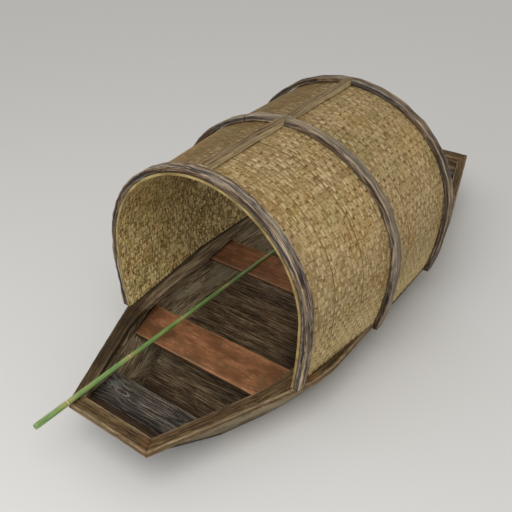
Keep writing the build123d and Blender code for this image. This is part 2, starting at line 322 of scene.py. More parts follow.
def ring(across_steps, up_steps, corner_steps=3):
    """A rounded rectangle's outline, from its right face round by its top: for each point a
    place on the inner rectangle, -1 to 1 each way, and the direction in which the rounding
    stands off it. Points crowd towards the ends of each face, so that faces look flat."""
    outline = []
    starts = ((1, -1), (1, 1), (-1, 1), (-1, -1))
    for turn, steps in enumerate((up_steps, across_steps, up_steps, across_steps)):
        start, end = np.array(starts[turn]), np.array(starts[(turn + 1) % 4])
        share = 0.5 - 0.5 * np.cos(np.linspace(0, math.pi, steps))
        face = start + share[:, None] * (end - start)
        outline.append(np.column_stack([face, np.full(steps, turn * math.pi / 2)]))
        bend = turn * math.pi / 2 + np.linspace(0, math.pi / 2, corner_steps + 1)[1:-1]
        outline.append(np.column_stack([np.tile(end, (len(bend), 1)), bend]))
    return np.vstack(outline)


def ripple(along, around, seed, shortest=0.05, waves=6):
    """A smooth uneven value between -1 and 1: a sum of sine waves of random length
    and phase along and around a piece."""
    random = np.random.default_rng(seed)
    total = 0
    for length, phase, twist in random.uniform((shortest, 0, -2), (0.6, 7, 2), (waves, 3)):
        total = total + np.sin(along * 2 * math.pi / length + around * twist + phase)
    return np.clip(total / waves * 1.6, -1, 1)


def board(name, corners, material, replaces, rounding=0.004, across_steps=9, up_steps=5,
          wobble=0.0015, seed=1):
    """A board along four corner lines, each an array of points: low left, low right, high
    right and high left, as seen along it. Each section is a rounded rectangle laid between
    the four corners, and its faces wander inwards a little. Its points hold their place
    along, across and up the board as grain, and how near they are to an arris as wear."""
    low_left, low_right, high_right, high_left = corners
    centre = (low_left + low_right + high_right + high_left) / 4
    along = np.append(0, np.cumsum(np.linalg.norm(np.diff(centre, axis=0), axis=1)))[:, None]
    width = np.linalg.norm(low_right - low_left + high_right - high_left, axis=1)[:, None] / 2
    height = np.linalg.norm(high_left - low_left + high_right - low_right, axis=1)[:, None] / 2
    x, z, turn = ring(across_steps, up_steps).T
    radius = rounding * (1 + 0.5 * ripple(along, turn, seed))
    inwards = radius + wobble * (1 + ripple(along, turn * 1.7, seed + 50)) / 2
    share_x = x * (1 - 2 * inwards / width) + 2 * radius * np.cos(turn) / width
    share_z = z * (1 - 2 * inwards / height) + 2 * radius * np.sin(turn) / height
    right, up = (share_x[..., None] + 1) / 2, (share_z[..., None] + 1) / 2
    low = low_left[:, None] * (1 - right) + low_right[:, None] * right
    high = high_left[:, None] * (1 - right) + high_right[:, None] * right
    offset_x, offset_z = share_x * width / 2, share_z * height / 2
    grain = np.stack(np.broadcast_arrays(along + seed * 3.7, offset_x, offset_z), -1)
    arris = np.hypot(width / 2 - abs(offset_x), height / 2 - abs(offset_z))
    wear = np.clip(1 - arris / worn_width, 0, 1)[..., None]
    piece = mesh_piece(name, low * (1 - up) + high * up, *tube_faces(1, *share_x.shape), material,
                       grain=grain, wear=wear)
    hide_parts(replaces)


def board_sockets(tones, wear_share=1.0, **kwargs):
    """What a board's material takes: its grain and wear are the mesh's own."""

    def sockets(place):
        wear = place.attribute("wear", "Fac")
        return timber(*place.attribute("grain").split(), tones, wear=wear * wear_share, **kwargs)

    return sockets


gunwale_tones = (
    paint(24, 16, 8), paint(48, 35, 19), paint(81, 63, 39), paint(127, 104, 71), paint(164, 142, 110),
)
middle_hoop_y = -0.4595
mat_foot_x, mat_foot_taper = 0.65, 0.11


def gunwale_sockets(place):
    """The port side and the rims are weathered pale, with grime on the port board's inner half, and every
    board's upright faces are painted a little paler, as lit faces. The starboard board is painted dark with
    shade up to the canopy; under it the board is a streaked grey, painted paler than its wood to stand in
    for light there, with painted shadow along the foot of the matting."""
    wood = board_sockets(gunwale_tones, fine=1.6, mottle=0.6)(place)
    x, y, z = place.split()
    along, across, depth = place.attribute("grain").split()
    # Painted light: the upright faces a little paler, as lit faces.
    upright = (1 - depth.rise(0.012, 0.0175)) * noise(along * 6, across * 90, depth * 90).rise(0.3, 0.6)
    colour = (upright * 0.08).mix(wood["Base Color"], gunwale_tones[4])
    red = noise(x * 3.2 + 1.7, y * 3.2, z).rise(0.52, 0.7)
    colour = (red * 0.45).mix(colour, paint(118, 78, 46))
    inner_half = (1 - across.rise(-0.03, 0.025)) * x.rise(0.24, 0.34)
    grime = inner_half * noise(along * 4, across * 60, depth).rise(0.3, 0.6)
    colour = (grime * 0.55).mix(colour, paint(62, 44, 26))
    # Painted shade over the starboard board ahead of the canopy.
    shade = 1 - (x + noise(x * 6, y * 6, z * 6) * 0.1).rise(-0.34, -0.14)
    sheltered = (y + noise(x * 8, y * 8, z * 8) * 0.2).rise(-1.1, -0.9) * (1 - y.rise(0.25, 0.4))
    colour = (shade * (1 - sheltered) * 0.72).mix(colour, paint(42, 31, 17))
    # Under the canopy a streaked grey, painted paler than the wood to stand in for light there.
    streak = noise(along * 5, across * 120, depth * 120).rise(0.42, 0.62)
    grey_and_painted_light = streak.mix(paint(92, 77, 57), paint(166, 148, 122))
    colour = (shade * sheltered * 0.8).mix(colour, grey_and_painted_light)
    # Painted shadow along the foot of the matting, on the starboard board under the canopy.
    to_mat = (y.math("MINIMUM", middle_hoop_y) - middle_hoop_y) * mat_foot_taper + mat_foot_x - abs(x)
    mat_contact_shadow = (1 - to_mat.rise(0.006, 0.03)) * y.rise(-1.2, -1.1) * (1 - y.rise(0.25, 0.3))
    wood["Base Color"] = (shade * mat_contact_shadow * 0.75).mix(colour, paint(30, 21, 12))
    return wood


gunwale_wood = finish("gunwale_wood", gunwale_sockets)


def cap(name, left, right, seed):
    """A board that follows the sheer, by its left and right edges as seen from above."""
    corners = []
    for line, drop in ((left, gunwale_thickness), (right, gunwale_thickness), (right, 0), (left, 0)):
        corners.append(np.column_stack([line, sheer(line[:, 1]) - drop]))
    board(f"{name}_board", corners, gunwale_wood, name, across_steps=11, seed=seed)


for seed, (name, side) in enumerate((("gunwale_port", 1), ("gunwale_starboard", -1))):
    outer = rounded_line(outer_corners, outer_radii, 160) * [side, 1]
    inner = rounded_line(inner_corners, inner_radii, 160) * [side, 1]
    edges = (inner, outer) if side > 0 else (outer, inner)
    cap(name, *edges, seed + 1)

mitre_gap = 0.0008
for seed, (name, end) in enumerate((("bow_rim", 0), ("stern_rim", -1))):
    (outer_x, outer_y), (inner_x, inner_y) = outer_corners[end], inner_corners[end]
    share = np.linspace(-1, 1, 40)
    outer = np.column_stack([share * (outer_x - mitre_gap), np.full(40, outer_y)])
    inner = np.column_stack([share * (inner_x - mitre_gap), np.full(40, inner_y)])
    edges = (inner, outer) if end == 0 else (outer, inner)
    cap(name, *edges, seed + 11)


# A grey board decks each end, tilted up to the ramp, and three reddish seat boards cross the
# hull on cleats. They are sawn, cut to the flare at their ends and worn smooth.
def crosswise(name, tilt):
    """The four corner lines of a board across the boat, from its node's corners on the port
    side: the points furthest out along the diagonals of its tilted section. Up counts four
    times, because the board is thin."""
    points = np.array([v.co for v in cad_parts[name].data.vertices])
    points = points[points[:, 0] > 0.1]
    level = points[:, 1] * math.cos(tilt) + points[:, 2] * math.sin(tilt)
    rise = points[:, 2] * math.cos(tilt) - points[:, 1] * math.sin(tilt)
    share = np.linspace(1, -1, 60)[:, None]
    corners = []
    for fore, up in ((-1, -1), (1, -1), (1, 1), (-1, 1)):
        corner = points[np.argmax(fore * level + 4 * up * rise)]
        corners.append(corner * np.hstack([share, share**0, share**0]))
    return corners


deck_tones = (
    paint(14, 10, 8), paint(22, 17, 14), paint(33, 27, 24), paint(84, 75, 65), paint(152, 142, 126),
)
knot_x, knot_y = -0.192, -1.666
bleached_x, bleached_y = -0.26, -1.64


def deck_sockets(place):
    """The bow deck's straight grain bends round a knot. Its value across the grain is the distance from the
    knot inside the eye, and outside it the place across the board, pushed away from the knot. Fine pale
    rings and hairs stand up over the dark between them, the board is weathered pale beside the knot, and
    darker at the bow."""
    x, y, z = place.split()
    along = x - knot_x
    across = y - knot_y + (noise(x * 4, y * 7, z) - 0.5) * 0.035
    eye = (along * along * 0.09 + across * across).math("SQRT")
    push = across.math("SIGN") * (along * along * -250).math("EXPONENT") * 0.02
    outside = eye.rise(0.018, 0.034)
    bent = eye * (1 - outside) + (across + push) * outside
    wood = timber(x * 0.6, bent, z, deck_tones, fine=2.0, mottle=0.7)
    rings = noise(x * 2.5, bent * 190, z * 2, 1.0).line(0.5, 0.05) * noise(x * 8, y * 12, z).rise(0.28, 0.5)
    colour = (rings * 0.9).mix(wood["Base Color"], paint(152, 142, 129))
    off_spot = abs(x - bleached_x) + abs(y - bleached_y) + noise(x * 30, y * 30, z) * 0.05
    colour = ((1 - off_spot.rise(0.04, 0.1)) * 0.5).mix(colour, paint(132, 136, 130))
    # Darker towards the bow.
    edge_darkening = 1 - (y + noise(x * 6, y * 6, z) * 0.08).rise(-1.72, -1.62)
    colour = (edge_darkening * 0.6).mix(colour, deck_tones[0])
    hair = noise(x * 6, bent * 420, z * 2, 2.0).rise(0.59, 0.65) * noise(x * 5 + 3, y * 20, z).rise(0.4, 0.6)
    colour = (hair * 0.7).mix(colour, paint(150, 138, 124))
    arris = place.attribute("wear", "Fac").rise(0.45, 0.95) * y.rise(-1.6, -1.57)
    wood["Base Color"] = (arris * 0.8).mix(colour, deck_tones[4])
    return wood


def seat_sockets(place):
    """Smooth reddish board: slow patches darker and paler, short fine scratches, pale chips, and painted
    shade darkening its face towards the bow."""
    wear = place.attribute("wear", "Fac")
    along, across, depth = place.attribute("grain").split()
    patch = noise(along * 5, across * 9, depth * 9, 4.0)
    grit = noise(along * 30, across * 150, depth * 150, 4.0, 0.7)
    streak = noise(along * 5, across * 60, depth * 60, 3.0)
    scratch = noise(along * 16, across * 200, depth * 200, 2.0).rise(0.62, 0.7) * patch.rise(0.35, 0.6)
    olive = noise(along * 6 + 3, across * 11, depth * 11).rise(0.5, 0.68)
    chipped = noise(along * 8 + 9, across * 8, depth * 8).rise(0.5, 0.62)
    chip = noise(along * 60, across * 90, depth * 90, 2.0).rise(0.68, 0.74) * chipped
    colour = patch.rise(0.38, 0.62).mix(paint(110, 72, 45), paint(154, 104, 70))
    colour = (streak.rise(0.48, 0.68) * 0.5).mix(colour, paint(90, 56, 30))
    colour = (grit.rise(0.45, 0.7) * 0.4).mix(colour, paint(86, 52, 27))
    colour = (olive * 0.55).mix(colour, paint(98, 76, 46))
    colour = (scratch * 0.7).mix(colour, paint(196, 158, 124))
    colour = (chip * 0.8).mix(colour, paint(214, 178, 148))
    colour = (wear * grit.rise(0.3, 0.5) * 0.45).mix(colour, paint(186, 148, 112))
    # Painted shade on the face towards the bow.
    face = (1 - across.rise(-0.1345, -0.132)) * (1 - depth.rise(0.002, 0.008))
    colour = (face * 0.85).mix(colour, paint(52, 32, 20))
    height = streak * 0.5 + grit * 0.3
    return {
        "Base Color": colour,
        "Roughness": grit * 0.3 + 0.6,
        "Specular IOR Level": 0.2,
        "Normal": height.bump(0.0008, 0.8),
    }


deck_wood = finish("deck_wood", deck_sockets)
seat_wood = finish("seat_wood", seat_sockets)
deck_slope = math.atan(0.24)
for seed, (name, tilt, wood, slot) in enumerate((
    ("bow_deck", -deck_slope, deck_wood, "deck_wood"),
    ("stern_deck", deck_slope, deck_wood, "deck_wood"),
    ("thwart_front", 0, seat_wood, "thwart_wood"),
    ("thwart_middle", 0, seat_wood, "thwart_wood"),
    ("thwart_rear", 0, seat_wood, "thwart_wood"),
)):
    board(f"{name}_board", crosswise(name, tilt), wood, name, across_steps=15, up_steps=3,
          rounding=0.003, seed=seed + 21)


# The canopy's two mats are each woven twice, an outer and an inner skin with dry leaves
# between. Split bamboo runs over the arch, and broader splits cross it from end to end.
front_edge, rear_edge = -1.207, 0.287
arches = np.array([
    (front_edge, 0.600, 0.600, 0.702, 0.566),
    (middle_hoop_y, 0.707, 0.621, 0.704, 0.648),
    (rear_edge, 0.697, 0.638, 0.715, 0.636),
])
foot_level = 0.280
leg_share = 0.15
mat_thickness = 0.015


def arch(share, y, grow, foot):
    """Points over the arch at stations y, from the port foot, share 0, to the starboard one,
    share 1. A row of arches gives a station, half the width there, the rise over the
    springing, the springing's height and half the width at foot_level. The middle is half an
    ellipse. Each leg is an arc that leaves it upright and leans in, down to the height foot.
    grow moves the whole outwards."""
    half, rise, springing, low = (np.interp(y, arches[:, 0], arches[:, k]) for k in range(1, 5))
    lean, fall = half - low, springing - foot_level
    bend = (lean**2 + fall**2) / (2 * lean)
    side = np.where(share < 0.5, 1.0, -1.0)
    down = np.clip(1 - np.minimum(share, 1 - share) / leg_share, 0, 1)
    angle = down * np.arcsin((springing - foot) / bend)
    over = np.clip((share - leg_share) / (1 - 2 * leg_share), 0, 1) * math.pi
    x = (half + grow) * np.cos(over) - side * bend * (1 - np.cos(angle))
    z = springing + (rise + grow) * np.sin(over) - bend * np.sin(angle)
    return np.stack(np.broadcast_arrays(x, y, z), -1)


def outwards(share, y, foot):
    """The direction away from the inside, square to the arch and to its taper: the cross
    product of a short step along the boat and one over the arch."""
    share_step, y_step = 0.002, 0.01
    over = arch(share + share_step, y, 0, foot) - arch(share - share_step, y, 0, foot)
    along = arch(share, y + y_step, 0, foot) - arch(share, y - y_step, 0, foot)
    out = np.cross(along, over)
    return out / np.linalg.norm(out, axis=-1, keepdims=True)


over_pitch, outer_pitch, inner_pitch = 0.0385, 0.0243, 0.0155
weave_rise, split_thickness, crest_flatness = 0.0013, 0.0011, 2.2
split_section = np.array([[-1, 0], [1, 0], [0.7, 1], [-0.7, 1]])
half_split_shares = (0.465, 0.505)
fewest_bends, most_bends, wander = 4, 16, 0.0016
side_inset, end_inset, foot_gap = 0.0004, 0.001, 0.0015


def woven(name, replaced, bands, cross_pitch, samples, depth, face, material, seed):
    """Plain weave over the arch, in bands along the boat. Splits over the arch lie cross_pitch
    apart, the broader ones along it over_pitch. Each is a flat lens in section, carried along
    its line with a few samples to each crossing, over one and under the next: its height is
    the cosine of the crossings passed, flattened by a hyperbolic tangent. Its points hold
    their place in the split and its number as fibre, and their place counted in splits each
    way, and across their own, as cell."""
    random = np.random.default_rng(seed)
    points, fibre, cell, sides, ends = [], [], [], [], []
    count = 0
    for start, end in bands:
        middle = arch(np.linspace(0, 1, 200), (start + end) / 2, 0, foot_level)
        arch_length = np.linalg.norm(np.diff(middle, axis=0), axis=1).sum()
        strips, crossings = round((end - start) / cross_pitch), round(arch_length / over_pitch)
        shift = random.uniform(0, 1)
        for lines, cells, length, over in (
            (strips, crossings, end - start, True), (crossings, strips, arch_length, False),
        ):
            pitch = length / lines
            number = np.arange(lines)[:, None, None]
            run = np.linspace(0, 1, cells * samples + 1)[None, :, None]
            half = pitch * random.uniform(*half_split_shares, (lines, 1, 1))
            drawn = random.uniform((fewest_bends, -wander), (most_bends, wander), (lines, 2))
            bends, reach = drawn.T[..., None, None]
            across = split_section[:, 0] * half + reach * np.sin(run * bends + number)
            if over:
                y = np.clip(start + (number + 0.5) * pitch + across, start + side_inset, end - side_inset)
                share = run + 0 * y
                places = (number, run * crossings - shift)
                phase = sum(places)
            else:
                share = np.clip((number + shift) / crossings + across / arch_length, 0, 1)
                y = start + end_inset + run * (end - start - 2 * end_inset) + 0 * share
                places = (run * strips - 0.5, number)
                phase = sum(places) + 1
            lift = np.tanh(crest_flatness * np.cos(np.pi * phase)) + 0 * y
            height = weave_rise * lift + split_thickness * split_section[:, 1]
            foot = sheer(y) + foot_gap
            place = arch(share, y, 0, foot) + outwards(share, y, foot) * (depth + face * height)[..., None]
            points.append(place.reshape(-1, 3))
            tube_sides, tube_ends = tube_faces(lines, run.size, 4)
            sides.append(tube_sides + count)
            ends += (np.array(tube_ends) + count).tolist()
            count += lines * run.size * 4
            tint = random.uniform(0, 100, (lines, 1, 1))
            whole = arch_length if over else end - start
            aside = across / pitch
            places = (places[0] + aside, places[1]) if over else (places[0], places[1] + aside)
            for store, values in ((fibre, (run * whole, across, tint)), (cell, (*places, aside * 2))):
                store.append(np.stack(np.broadcast_arrays(*values, lift)[:3], -1).reshape(-1, 3))
    piece = mesh_piece(name, np.vstack(points), np.vstack(sides), ends, material, sharp=(4, (0, 1)),
                       fibre=np.vstack(fibre), cell=np.vstack(cell))
    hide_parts(replaced)


def mat_sockets(tones, highlight_dashes, spot_shadows, stray, specks, painted_shading):
    """Bamboo splits. cell counts the splits over the arch and along it, so the product of the cosines of
    both is 1 where a split over the arch lies on top, -1 where the other does. Each of the first has a
    painted highlight, a pale stroke along it, painted shade beside that, and a painted shadow, a brown mark
    below, where it dives. The cells where the other lies on top and the edges of every split are painted in
    shade too. The numbers say how strong the painted highlight strokes and shadow marks are, how far they
    stray from their crossing and how strong the short flecks are. The last argument gives how much painted
    shade and painted light lie at a place. To starboard of the ridge the crown is orange and plain."""

    def sockets(place):
        straw, light, shade, orange, olive, pink = tones
        x, y, z = place.split()
        along, across, tint = place.attribute("fibre").split()
        over, cross, side = place.attribute("cell").split()
        drift = noise(x * 34, y * 34, z * 34, 2.0)
        turn_over = (over + (drift - 0.5) * stray) * math.pi
        turn_cross = (cross + (noise(x * 34 + 9, y * 34, z * 34, 2.0) - 0.5) * stray) * math.pi
        top = turn_over.math("COSINE") * turn_cross.math("COSINE")
        # Where each split over the arch dives, on its lower side, for the painted shadow there.
        below = x.rise(-0.1, 0.1) * -2 + 1
        sign = turn_over.math("COSINE").math("SIGN")
        dive = (turn_cross.math("SINE") * below * sign).rise(0.66, 0.96)
        pit = abs(turn_over.math("COSINE")).rise(0.1, 0.7) * dive
        fibre = noise(along * 18, across * 520, tint)
        splinter = noise(along * 13, across * 170, tint, 2.0)
        fleck = noise(along * 42, across * 120, tint, 2.0)
        stretch = noise(along * 5, tint, tint * 0.7, 2.0)
        each = noise(over.math("ROUND") * 0.77, cross.math("ROUND") * 0.77, tint, 0.0)
        patch = noise(x * 4.5, y * 4.5, z * 4.5)
        patch_two = noise(x * 4 + 7, y * 4, z * 4)
        crown = (x * -1).rise(0.02, 0.2) * z.rise(1.1, 1.25)
        plain = 1 - crown * 0.7
        colour = ((stretch + each * 0.6).rise(0.6, 1.0) * 0.45).mix(straw, light)
        colour = (patch.rise(0.48, 0.66) * 0.5).mix(colour, orange)
        colour = ((1 - patch.rise(0.34, 0.5)) * 0.35).mix(colour, pink)
        colour = (crown * 0.85).mix(colour, orange)
        colour = (patch_two.rise(0.5, 0.68) * 0.6).mix(colour, olive)
        # Painted shade in dark brown and painted light in pale straw, as much as the last argument gives for
        # this place.
        painted_shade_share, painted_light_share = painted_shading(x, y, z)
        colour = painted_shade_share.mix(colour, paint(42, 27, 6))
        colour = painted_light_share.mix(colour, paint(214, 190, 134))
        colour = (fleck.rise(0.53, 0.66) * specks * plain).mix(colour, shade)
        colour = ((1 - fleck.rise(0.34, 0.47)) * specks * 0.7 * plain).mix(colour, light)
        colour = (splinter.rise(0.46, 0.66) * 0.4).mix(colour, shade)
        colour = (fibre.rise(0.42, 0.72) * 0.3).mix(colour, shade)
        # Painted shade on the cells where a split along the boat lies on top.
        colour = ((1 - top.rise(-0.7, 0.4)) * 0.1 * plain).mix(colour, shade)
        # Painted highlight: a pale stroke along each split over the arch, where it lies on top.
        highlight_dash = top.rise(0.1, 0.7) * side.line(-0.3, 0.48) * (each + stretch * 0.5).rise(0.55, 0.9)
        colour = (highlight_dash * plain * highlight_dashes).mix(colour, light)
        # Painted shade beside that stroke.
        lee_shade = top.rise(0.0, 0.6) * side.line(0.6, 0.5) * (each + drift * 0.5).rise(0.6, 0.9)
        colour = (lee_shade * plain * 0.45).mix(colour, shade)
        # Painted shade along the edges of every split.
        colour = (abs(side).rise(0.85, 1.0) * 0.25 * plain).mix(colour, shade)
        # Painted shadow: a brown mark where each split over the arch dives, in patches and stronger higher
        # up.
        shadow_strength = noise(x * 3 + 5, y * 3, z * 3).rise(0.36, 0.6) * 0.3 + z.rise(0.85, 1.15) * 0.2 + 0.55
        spot_shadow = pit * (drift * 0.7 + each).rise(0.62, 1.0) * plain * shadow_strength
        colour = (spot_shadow * spot_shadows).mix(colour, shade)
        mottle = noise(along * 38 + 11, tint * 1.3, tint, 2.0)
        colour = (mottle.rise(0.5, 0.64) * specks * 0.45 * plain).mix(colour, shade)
        colour = ((1 - mottle.rise(0.36, 0.5)) * specks * 0.55 * plain).mix(colour, light)
        height = splinter * 0.4 + fibre * 0.3 + top * 0.5 + highlight_dash * 0.3 - spot_shadow
        return {
            "Base Color": colour,
            "Roughness": fibre * 0.2 + 0.6,
            "Specular IOR Level": 0.25,
            "Normal": height.bump(0.001, 0.8),
        }

    return sockets


outer_tones = (
    paint(158, 134, 86), paint(202, 182, 138), paint(90, 60, 16),
    paint(158, 122, 60), paint(140, 130, 74), paint(160, 134, 98),
)
# The inner skin is fresher and more golden than the outer, and its tones are also painted paler to stand in
# for light inside the canopy.
inner_tones = (
    paint(216, 184, 110), paint(255, 236, 174), paint(76, 46, 6),
    paint(204, 148, 72), paint(180, 166, 90), paint(194, 154, 102),
)


def outer_painted_shading(x, y, z):
    """Painted shade along the top, more to starboard of the ridge, and painted light along the feet."""
    starboard = (x * -1).rise(0.0, 0.12)
    return z.rise(1.1, 1.32) * (starboard * 0.4 + 0.24), (1 - z.rise(0.38, 0.66)) * 0.75


def inner_painted_shading(x, y, z):
    """Painted shade deeper in, towards the stern, and painted light at the open end."""
    return y.rise(-1.0, -0.35) * 0.48, (1 - y.rise(-1.2, -0.95)) * 0.2


outer_bamboo = finish("outer_bamboo", mat_sockets(
    outer_tones, highlight_dashes=0.6, spot_shadows=0.95, stray=0.6, specks=0.55, painted_shading=outer_painted_shading))
inner_bamboo = finish("inner_bamboo", mat_sockets(
    inner_tones, highlight_dashes=0.8, spot_shadows=0.85, stray=1.0, specks=1.0, painted_shading=inner_painted_shading))
band_seams = (-0.9475, -0.7185, -0.265, -0.036)


def leaf_sockets(place):
    """Dry brown leaves, seen between the splits, and painted near black as shade in the gaps at the seams
    between two bands of weave."""
    x, y, z = place.split()
    flake = noise(x * 40, y * 40, z * 40)
    # Painted shade: near black in the gaps at the seams.
    seam_shade = sum(y.line(station, 0.006) for station in band_seams)
    seam_shade = seam_shade * (noise(x * 7, y * 3, z * 7).rise(0.4, 0.6) * 0.6 + 0.35)
    colour = flake.rise(0.3, 0.7).mix(paint(112, 82, 36), paint(156, 122, 62))
    return {
        "Base Color": seam_shade.mix(colour, paint(38, 26, 8)),
        "Roughness": 0.95,
        "Normal": flake.bump(0.002, 0.7),
    }


leaf_filling = finish("leaf_filling", leaf_sockets)
binding_width = 0.006
meeting_gap, seam_gap = 0.0007, 0.0015
mats = {
    "mat_front": (front_edge + binding_width, *band_seams[:2], middle_hoop_y - meeting_gap),
    "mat_rear": (middle_hoop_y + meeting_gap, *band_seams[2:], rear_edge - binding_width),
}
skin_clearance = 0.0001
skin = weave_rise + split_thickness + skin_clearance
leaf_depths, leaf_inset, leaf_foot_gap = (0.0042, 0.0108), 0.001, 0.002
leaf_rows, leaf_columns = 120, 12
for seed, (name, seams) in enumerate(mats.items()):
    bands = [(start + seam_gap, end - seam_gap) for start, end in zip(seams, seams[1:])]
    woven(f"{name}_outer", name, bands, outer_pitch, samples=4, depth=mat_thickness - skin, face=1,
          material=outer_bamboo, seed=100 + 10 * seed)
    woven(f"{name}_inner", name, [(seams[0], seams[-1])], inner_pitch, samples=3, depth=skin, face=-1,
          material=inner_bamboo, seed=101 + 10 * seed)
    share = np.linspace(0, 1, leaf_rows)[:, None]
    y = np.linspace(seams[0] + leaf_inset, seams[-1] - leaf_inset, leaf_columns)[None]
    y = np.hstack([y, y[:, ::-1]])
    foot = sheer(y) + leaf_foot_gap
    depth = np.repeat(leaf_depths, leaf_columns)[None, :, None]
    core = arch(share, y, 0, foot) + outwards(share, y, foot) * depth
    leaves = mesh_piece(f"{name}_leaves", core, *tube_faces(1, leaf_rows, 2 * leaf_columns), leaf_filling)
    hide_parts(name)


def binding_sockets(place):
    """A length of split bamboo, yellow and brown by turns, with fine dark fibres."""
    along, across, depth = place.attribute("grain").split()
    fibre = noise(along * 9, across * 400, depth * 400)
    stretch = noise(along * 7, across, depth)
    colour = stretch.rise(0.35, 0.65).mix(paint(114, 94, 48), paint(164, 144, 90))
    colour = (fibre.rise(0.45, 0.7) * 0.5).mix(colour, paint(96, 76, 40))
    return {"Base Color": colour, "Roughness": 0.6, "Normal": fibre.bump(0.0005, 0.8)}


edge_bamboo = finish("edge_bamboo", binding_sockets)
for seed, (name, node, start) in enumerate((
    ("front_binding", "mat_front", front_edge),
    ("rear_binding", "mat_rear", rear_edge - binding_width),
)):
    share, end = np.linspace(0, 1, 240), start + binding_width
    corners = []
    for y, depth in ((start, 0), (end, 0), (end, mat_thickness), (start, mat_thickness)):
        foot = sheer(y) + foot_gap
        corners.append(arch(share, y, 0, foot) + outwards(share, np.full(240, y), foot) * depth)
    board(name, corners, edge_bamboo, node, rounding=0.0022, across_steps=5, wobble=0.001,
          seed=seed + 61)


# Three hoops of squared wood, bent hot, hold the mats down from outside. The front one stands
# on the gunwale, the others lap its outer edge. Weather has turned them grey and split them.
hoop_width, hoop_thickness, fit, hoop_lap = 0.065, 0.038, 0.0003, 0.008
hoop_foot_gap = 0.001
hewn_flats, hewn_wander = 23, 0.012
scarf_x = -0.252


def hoop_sockets(place):
    """Long bands of brown and of slate grey, split and silvered, and pale outside, with painted shade on the
    other faces and painted black as shade on the inner face, where the mat lies. The middle hoop is barer,
    and a saw cut crosses it where its two lengths are scarfed."""
    wear = place.attribute("wear", "Fac")
    along, across, depth = place.attribute("grain").split()
    band = noise(along * 2.2, across * 38, depth * 38, 2.0)
    bleach = noise(along * 3.1 + 8, across * 18, depth * 18)
    middle = band.rise(0.44, 0.54).mix(paint(124, 100, 76), paint(96, 88, 86))
    dark = band.rise(0.46, 0.58).mix(paint(54, 38, 26), paint(38, 34, 37))
    tones = (paint(18, 13, 12), dark, middle, paint(168, 152, 128), paint(190, 176, 152))
    silver = wear * bleach.rise(0.3, 0.55) * 0.8
    wood = timber(along, across, depth, tones, wear=silver, fine=1.2, mottle=0.7)
    outer = depth.rise(0.006, 0.018)
    colour = (bleach.rise(0.5, 0.68) * 0.5 * outer).mix(wood["Base Color"], paint(164, 148, 124))
    black = noise(along * 2.7 + 4, across * 60, depth * 60, 3.0).rise(0.54, 0.62)
    colour = (black * 0.8).mix(colour, dark)
    # Painted shade on every face but the outer one.
    upright = (1 - outer) * noise(along * 3, across * 60, depth * 60).rise(0.35, 0.6)
    colour = (upright * 0.7).mix(colour, dark)
    # Painted black as shade on the inner face, where the hoop lies on the mat.
    colour = ((1 - depth.rise(-0.018, -0.009)) * 0.7).mix(colour, tones[0])
    x, y, z = place.split()
    off_middle = abs(y - middle_hoop_y)
    bare = (1 - off_middle.rise(0.04, 0.08)) * outer
    colour = (bare * 0.28).mix(colour, paint(172, 156, 130))
    cut = x.line(scarf_x, 0.005) * (1 - off_middle.rise(0.036, 0.04)) * z.rise(1.2, 1.22)
    wood["Base Color"] = (cut * 0.95).mix(colour, tones[0])
    return wood


hoop_wood = finish("hoop_wood", hoop_sockets)
for seed, (name, station, lap) in enumerate((
    ("hoop_front", front_edge + hoop_width / 2, 0),
    ("hoop_middle", middle_hoop_y, gunwale_thickness + hoop_lap),
    ("hoop_rear", rear_edge - hoop_width / 2, gunwale_thickness + hoop_lap),
)):
    share = np.linspace(0, 1, 200)
    foot = sheer(station) - lap + hoop_foot_gap
    inside, outside = mat_thickness + fit, mat_thickness + fit + hoop_thickness
    kinks = np.linspace(0, 1, hewn_flats + 1)
    kinks[1:-1] += hewn_wander * ripple(kinks[1:-1], 0, seed + 80, 0.1)
    flats = arch(kinks, station, outside, foot)
    hewn = np.stack([np.interp(share, kinks, flats[:, axis]) for axis in range(3)], 1)
    fore, aft = station - hoop_width / 2, station + hoop_width / 2
    corners = []
    for y, line in ((fore, arch(share, fore, inside, foot)), (aft, arch(share, aft, inside, foot)),
                    (aft, hewn), (fore, hewn)):
        corners.append(line * [1, 0, 1] + [0, y, 0])
    board(f"{name}_wood", corners, hoop_wood, name, rounding=0.005, across_steps=9, up_steps=7,
          wobble=0.005, seed=seed + 31)


# A square batten lies along the top of each mat, butted between two hoops.
ridge_width, ridge_height = 0.046, 0.044
ridge_tones = (
    paint(42, 29, 14), paint(94, 73, 46), paint(140, 116, 84), paint(178, 157, 122), paint(196, 178, 138),
)


def ridge_sockets(place):
    """Painted shade makes it brown on top, and painted light makes it pale down the sides."""
    wood = board_sockets(ridge_tones, wear_share=0.7)(place)
    # Painted shade on the top face and painted light on the sides, as the light falls on them.
    top = place.attribute("grain").split()[2].rise(0.010, 0.016)
    colour = (top * 0.55).mix(wood["Base Color"], paint(74, 54, 36))
    wood["Base Color"] = ((1 - top) * 0.36).mix(colour, paint(206, 188, 148))
    return wood


ridge_wood = finish("ridge_wood", ridge_sockets)
for seed, name in enumerate(("ridge_front", "ridge_rear")):
    low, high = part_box(name)
    y = np.linspace(low.y, high.y, 50)
    rise = arch(np.full(50, 0.5), y, mat_thickness + fit, foot_level)[:, 2]
    corners = [
        np.column_stack([np.full(50, side * ridge_width / 2), y, rise + up])
        for side, up in ((-1, 0), (1, 0), (1, ridge_height), (-1, ridge_height))
    ]
    board(f"{name}_wood", corners, ridge_wood, name, rounding=0.005, wobble=0.004,
          seed=seed + 41)


